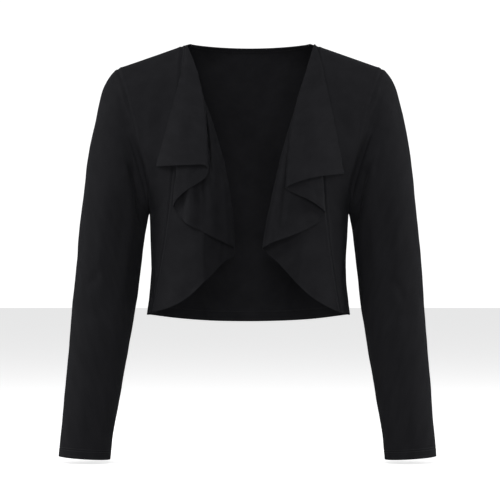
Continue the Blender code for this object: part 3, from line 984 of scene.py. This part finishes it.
def stitchPlaces(line, normals, pitch, closed):
    # centres and directions of stitches at an even pitch along a line
    if closed:
        line, normals = (np.concatenate([a, a[:1]]) for a in (line, normals))
    run = np.concatenate([[0], np.cumsum(np.linalg.norm(np.diff(line, axis=0), axis=1))])
    count = int(run[-1] // pitch)
    at = (np.arange(count) + 0.5) * run[-1] / count

    def read(grid, where):
        return np.stack([np.interp(where, run, grid[:, i]) for i in range(3)], axis=-1)

    ahead = unit(read(line, at + 0.5) - read(line, at - 0.5))
    return read(line, at), ahead, unit(read(normals, at))


def stitchRow(line, normals, values, closed=False, slant=0.0):
    # each stitch is a six-sided spindle that rises out of the cloth in the middle: points 0 and 13
    # are its ends, 1 to 6 and 7 to 12 the rings between them. slant turns every other one to either
    # side, in degrees
    centre, ahead, out = stitchPlaces(line, normals, values["pitch"], closed)
    side = np.cross(out, ahead)
    turned = np.radians(slant) * np.where(np.arange(len(centre)) % 2, 1, -1)[:, None]
    cosine, sine = np.cos(turned), np.sin(turned)
    ahead, side = ahead * cosine + side * sine, side * cosine - ahead * sine
    angle = np.arange(6) * np.pi / 3
    length = values["length"] * (1 + values["zigzagLonger"] * (slant > 0))
    width = values["width"]
    shape = [(-0.5, 0, -0.25)]
    for along in (-0.3, 0.3):
        shape += [(along, np.cos(a) / 2, np.sin(a) / 2) for a in angle]
    shape.append((0.5, 0, -0.25))
    shape = np.array(shape) * [length, width, width]
    points = (
        centre[:, None]
        + ahead[:, None] * shape[:, :1]
        + side[:, None] * shape[:, 1:2]
        + out[:, None] * (shape[:, 2:] + values["rise"] * np.array([[0]] + [[1]] * 12 + [[0]]))
    )
    ring = np.arange(6)
    after = (ring + 1) % 6
    faces = np.concatenate([
        np.stack([0 * ring, 1 + after, 1 + ring, 0 * ring], axis=-1),
        np.stack([1 + ring, 1 + after, 7 + after, 7 + ring], axis=-1),
        np.stack([13 + 0 * ring, 7 + ring, 7 + after, 13 + 0 * ring], axis=-1),
    ])
    faces = faces[None] + len(shape) * np.arange(len(centre))[:, None, None]
    return points.reshape(-1, 3), faces.reshape(-1, 4)


def stitchPiece(name, rows, material, hand=1):
    # one mesh of several rows. A face that names a point twice is a triangle
    points, faces, count = [], [], 0
    for rowPoints, rowFaces in rows:
        points.append(rowPoints)
        faces.append(rowFaces + count)
        count += len(rowPoints)
    points = np.concatenate(points) * [hand, 1, 1]
    faces = np.concatenate(faces)
    step = -1 if hand < 0 else 1
    corners = [list(dict.fromkeys(face))[::step] for face in faces.tolist()]
    flat = points[np.concatenate(corners)][:, [0, 2]] * mm
    return makeMesh(name, points, corners, material, flat)


def hemStitches(skin, out, distance, depth, inside, values, closed):
    # twin rows on the face of the cloth and a covering zigzag on its inner side
    rows = []
    for offset in (-0.5, 0.5):
        line, normals = lineAt(skin, out, distance, depth + offset * values["rowGap"])
        rows.append(stitchRow(line, normals, values, closed))
    line, normals = lineAt(skin, out, distance, depth + values["zigzagUp"])
    line = line - normals * (cloth["thickness"] + inside)
    rows.append(stitchRow(line, -normals, values, closed, values["zigzag"]))
    return rows


# materials


def fillSockets(tree, node, sockets):
    # gives each named input a number or colour, or links it to another node's output
    for name, value in sockets.items():
        if isinstance(value, bpy.types.NodeSocket):
            tree.links.new(value, node.inputs[name])
        else:
            node.inputs[name].default_value = value


def addNode(tree, kind, place, sockets=None, **settings):
    node = tree.nodes.new(kind)
    node.location = place
    for key, value in settings.items():
        setattr(node, key, value)
    fillSockets(tree, node, sockets or {})
    return node


def mathNode(tree, operation, place, *values):
    sockets = dict(enumerate(values))
    return addNode(tree, "ShaderNodeMath", place, sockets, operation=operation).outputs[0]


def newMaterial(name):
    material = bpy.data.materials.new(name)
    material.use_nodes = True
    return material, material.node_tree, material.node_tree.nodes["Principled BSDF"]


jerseyLook = {
    "dark": (0.0085, 0.0085, 0.0098),
    "light": (0.0185, 0.0185, 0.0208),
    "roughness": (0.72, 0.9),
    "sheen": 0.03,
    "sheenRoughness": 0.28,
    "sheenTint": (0.75, 0.77, 0.85),
    "specular": 0.05,
    "wale": 0.8,  # width and height of a knitted loop, in millimetres, and how far its legs slant
    "course": 0.62,
    "slant": 0.55,
    "mottle": 0.9,
    "knitDepth": 0.00010,  # in metres, as the next one is
    "fuzzDepth": 0.00005,
}

bandLook = {
    **jerseyLook,
    "dark": (0.007, 0.007, 0.008),
    "light": (0.015, 0.015, 0.017),
    "wale": 0.9,
    "course": 0.7,
}

knitValues = {
    "inputs": ("Wale", "Course", "Slant", "Mottle"),  # each is read from a look under its own name
    "waveMiddle": 0.65,  # the height along a wale is this plus a sine of the size below
    "waveSize": 0.35,
    "cloudScale": 42.0,  # the cloud of the dye, and below it the fibres' fuzz
    "cloudDetail": 5.0,
    "cloudRoughness": 0.62,
    "fibreScale": 620.0,
    "fibreDetail": 3.0,
}

threadLook = {
    "colour": (0.012, 0.012, 0.014),
    "roughness": 0.55,
    "specular": 0.35,
    "twist": 900.0,
    "twistDepth": 0.00004,
}


def knitGroup(values):
    # fine jersey. Each wale has two legs that slant into a V: height is the wale's arch times a
    # sine of the course, shifted sideways by the distance from the wale's middle. A cloud of larger
    # noise gives the uneven dye and nap
    tree = bpy.data.node_groups.new("jerseyKnit", "ShaderNodeTree")
    tree.interface.new_socket("Cloth", in_out="INPUT", socket_type="NodeSocketVector")
    for name in values["inputs"]:
        socket = tree.interface.new_socket(name, in_out="INPUT", socket_type="NodeSocketFloat")
        socket.default_value = jerseyLook[name.lower()]
    for name in ("Height", "Shade", "Fuzz"):
        tree.interface.new_socket(name, in_out="OUTPUT", socket_type="NodeSocketFloat")

    def calc(operation, place, *numbers):
        return mathNode(tree, operation, place, *numbers)

    given = addNode(tree, "NodeGroupInput", (-1100, 0)).outputs
    split = addNode(tree, "ShaderNodeSeparateXYZ", (-900, 100), {0: given["Cloth"]}).outputs
    across = calc("MULTIPLY", (-740, 180), split[0], 1 / mm)
    across = calc("DIVIDE", (-600, 180), across, given["Wale"])
    down = calc("MULTIPLY", (-740, -20), split[1], 1 / mm)
    down = calc("DIVIDE", (-600, -20), down, given["Course"])
    inWale = calc("SUBTRACT", (-340, 180), calc("FRACT", (-460, 180), across), 0.5)
    inWale = calc("ABSOLUTE", (-220, 180), inWale)
    arch = calc("SINE", (20, 180), calc("MULTIPLY", (-100, 180), inWale, 2 * math.pi))
    shift = calc("MULTIPLY", (-100, 20), inWale, given["Slant"])
    course = calc("MULTIPLY", (140, 0), calc("ADD", (20, 0), down, shift), 2 * math.pi)
    wave = calc("SINE", (260, 0), course)
    wave = calc("MULTIPLY_ADD", (380, 0), wave, values["waveSize"], values["waveMiddle"])
    cloud = addNode(tree, "ShaderNodeTexNoise", (-600, -260), {
        "Vector": given["Cloth"],
        "Scale": values["cloudScale"],
        "Detail": values["cloudDetail"],
        "Roughness": values["cloudRoughness"],
    })
    fibre = addNode(tree, "ShaderNodeTexNoise", (-600, -480), {
        "Vector": given["Cloth"],
        "Scale": values["fibreScale"],
        "Detail": values["fibreDetail"],
    })
    centred = calc("SUBTRACT", (-400, -260), cloud.outputs[0], 0.5)
    addNode(tree, "NodeGroupOutput", (700, 0), {
        "Height": calc("MULTIPLY", (520, 100), arch, wave),
        "Shade": calc("MULTIPLY_ADD", (-240, -260), centred, given["Mottle"], 0.5),
        "Fuzz": fibre.outputs[0],
    })
    return tree


def jerseyMaterial(name, look, knit):
    material, tree, shader = newMaterial(name)
    place = addNode(tree, "ShaderNodeUVMap", (-900, 0), uv_map="cloth")
    sockets = {title: look[title.lower()] for title in knitValues["inputs"]}
    sockets["Cloth"] = place.outputs[0]
    group = addNode(tree, "ShaderNodeGroup", (-700, 0), sockets, node_tree=knit).outputs
    colour = addNode(tree, "ShaderNodeMix", (-420, 200), {
        "Factor": group["Shade"],
        "A": (*look["dark"], 1),
        "B": (*look["light"], 1),
    }, data_type="RGBA")
    rough = addNode(tree, "ShaderNodeMapRange", (-420, -60), {
        "Value": group["Fuzz"],
        "To Min": look["roughness"][0],
        "To Max": look["roughness"][1],
    })
    fuzz = addNode(tree, "ShaderNodeBump", (-420, -320), {
        "Distance": look["fuzzDepth"],
        "Height": group["Fuzz"],
    })
    stitches = addNode(tree, "ShaderNodeBump", (-220, -320), {
        "Distance": look["knitDepth"],
        "Height": group["Height"],
        "Normal": fuzz.outputs[0],
    })
    fillSockets(tree, shader, {
        "Base Color": colour.outputs["Result"],
        "Roughness": rough.outputs[0],
        "Normal": stitches.outputs[0],
        "Sheen Weight": look["sheen"],
        "Sheen Roughness": look["sheenRoughness"],
        "Sheen Tint": (*look["sheenTint"], 1),
        "Specular IOR Level": look["specular"],
    })
    return material


def threadMaterial(look):
    # twisted thread: fine slanting waves on Object coordinates
    material, tree, shader = newMaterial("blackThread")
    place = addNode(tree, "ShaderNodeTexCoord", (-700, 0)).outputs
    twist = addNode(tree, "ShaderNodeTexWave", (-500, 0), {
        "Vector": place["Object"],
        "Scale": look["twist"],
    }, bands_direction="DIAGONAL")
    raised = addNode(tree, "ShaderNodeBump", (-260, -160), {
        "Distance": look["twistDepth"],
        "Height": twist.outputs["Fac"],
    })
    fillSockets(tree, shader, {
        "Base Color": (*look["colour"], 1),
        "Roughness": look["roughness"],
        "Normal": raised.outputs[0],
        "Specular IOR Level": look["specular"],
    })
    return material


# making the garment

knit = knitGroup(knitValues)
jersey = jerseyMaterial("blackJersey", jerseyLook, knit)
bandJersey = jerseyMaterial("blackJerseyBand", bandLook, knit)
thread = threadMaterial(threadLook)
print("materials made")

back, backSkin, backOut, atNeck = backPanel(backValues, jersey)
band = neckBand(bandValues, backSkin, backOut, atNeck, bandJersey)
hemRows = hemStitches(backSkin, backOut, edgeDistance(backSkin, "bottom"),
                      backValues["hemDepth"] - backValues["stitchInset"],
                      backValues["hemThickness"], threadValues, closed=False)
hemThread = stitchPiece("backHemStitches", hemRows, thread)
bandLine, bandOut = lineAt(backSkin[:, atNeck], backOut[:, atNeck],
                           edgeDistance(backSkin, "top")[:, atNeck],
                           bandValues["depth"] - bandValues["stitchInset"])
bandLine = bandLine - bandOut * (cloth["thickness"] + bandValues["gap"] + bandValues["thickness"])
sewn = slice(bandValues["stitchSkip"], -bandValues["stitchSkip"])
bandRows = [stitchRow(bandLine[sewn], -bandOut[sewn], threadValues)]
bandThread = stitchPiece("neckBandStitches", bandRows, thread)
print("back made")

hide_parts("back_panel")
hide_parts("back_neck_band")

halves = [("left", -1, leftFront, leftSleeve), ("right", 1, rightFront, rightSleeve)]
for side, hand, front, look in halves:
    title = side.capitalize()
    sidePiece = sideFront(f"sideFront{title}", front, hand, jersey)
    drape = drapeFront(f"drapeFront{title}", front, hand, jersey)
    arm, armSkin, armOut, fromCuff = sleeve(f"sleeve{title}", look, hand, jersey)
    cuffRows = hemStitches(armSkin, armOut, fromCuff, sleeveValues["hemDepth"],
                           sleeveValues["hemThickness"], threadValues, closed=True)
    cuffThread = stitchPiece(f"cuffStitches{title}", cuffRows, thread, hand)
    for piece, node in ((sidePiece, "side_front_"), (drape, "drape_front_"), (arm, "sleeve_")):
        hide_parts(node + side)
    print(side, "half made")


# studio

studio = {
    "floorGap": 6.0,  # below the cuffs
    "floorSize": 24000.0,
    "white": 0.93,
    "floorGlow": 0.72,
    "floorBounce": 0.35,
    "worldGlow": 0.08,  # as a light, in the tint below
    "worldTint": (0.97, 0.98, 1),
    "worldShown": 1.1,  # to the camera
    "cameraAway": 4500.0,
    "cameraHeight": -289.5,
    "lens": 216.0,
    "sensor": 36.0,
}

# place, aim, size and power of each soft light
lights = {
    "key": ((-1800, -2500, 1600), (0, -60, -300), (700, 700), 19),
    "front": ((-100, -3000, 700), (0, -60, -300), (900, 600), 20),
    "low": ((150, -2800, -300), (0, -60, -300), (1000, 500), 19),
    "sideLeft": ((-2500, 350, -100), (-60, 0, -300), (900, 1800), 40),
    "sideRight": ((2500, 350, -100), (60, 0, -300), (900, 1800), 46),
    "above": ((0, -500, 2700), (0, 0, -200), (1600, 900), 31),
}


def grey(value):
    return (value, value, value, 1)


def splitForCamera(tree, shown, lit, output):
    # the camera sees one shader, and light from elsewhere meets the other
    path = addNode(tree, "ShaderNodeLightPath", (0, 500))
    mix = addNode(tree, "ShaderNodeMixShader", (300, 300), {
        0: path.outputs["Is Camera Ray"],
        1: lit.outputs[0],
        2: shown.outputs[0],
    })
    fillSockets(tree, tree.nodes[output], {"Surface": mix.outputs[0]})


def makeFloor(values):
    # a wide plain sheet just below the cuffs, white to the eye and dimmer as a light
    half = values["floorSize"] / 2
    z = sleeveSections["innerZ"][-1] - values["floorGap"]
    corners = [(-half, -half, z), (half, -half, z), (half, half, z), (-half, half, z)]
    mesh = bpy.data.meshes.new("floor")
    mesh.from_pydata((np.array(corners) * mm).tolist(), [], [(0, 1, 2, 3)])
    floor = bpy.data.objects.new("floor", mesh)
    bpy.context.scene.collection.objects.link(floor)
    material, tree, shader = newMaterial("paleFloor")
    fillSockets(tree, shader, {
        "Base Color": grey(values["white"]),
        "Roughness": 1,
        "Specular IOR Level": 0,
        "Emission Color": grey(1),
        "Emission Strength": values["floorGlow"],
    })
    bounce = grey(values["floorBounce"])
    bounce = addNode(tree, "ShaderNodeBsdfDiffuse", (0, -300), {"Color": bounce})
    splitForCamera(tree, shader, bounce, "Material Output")
    mesh.materials.append(material)


def makeWorld(values):
    # white to the eye, dimmer as a light
    world = bpy.data.worlds.new("whiteRoom")
    world.use_nodes = True
    tree = world.node_tree
    shown = tree.nodes["Background"]
    fillSockets(tree, shown, {"Color": grey(1), "Strength": values["worldShown"]})
    lit = addNode(tree, "ShaderNodeBackground", (0, -200), {
        "Color": (*values["worldTint"], 1),
        "Strength": values["worldGlow"],
    })
    splitForCamera(tree, shown, lit, "World Output")
    bpy.context.scene.world = world


def aimed(thing, place, target):
    # turns -Z of a light or camera towards the target
    thing.location = Vector(place) * mm
    thing.rotation_euler = (Vector(target) - Vector(place)).to_track_quat("-Z", "Y").to_euler()
    bpy.context.scene.collection.objects.link(thing)


def makeLights(rows):
    for name, (place, target, size, power) in rows.items():
        lamp = bpy.data.lights.new(name, "AREA")
        lamp.shape = "RECTANGLE"
        lamp.size, lamp.size_y = size[0] * mm, size[1] * mm
        lamp.energy = power
        aimed(bpy.data.objects.new(name, lamp), place, target)


def makeCamera(values):
    lens = bpy.data.cameras.new("camera")
    lens.sensor_width = values["sensor"]
    lens.lens = values["lens"]
    camera = bpy.data.objects.new("camera", lens)
    height = values["cameraHeight"]
    aimed(camera, (0, -values["cameraAway"], height), (0, 0, height))
    bpy.context.scene.camera = camera


makeFloor(studio)
makeWorld(studio)
makeLights(lights)
makeCamera(studio)
bpy.context.scene.view_settings.view_transform = "Standard"
print("studio made")
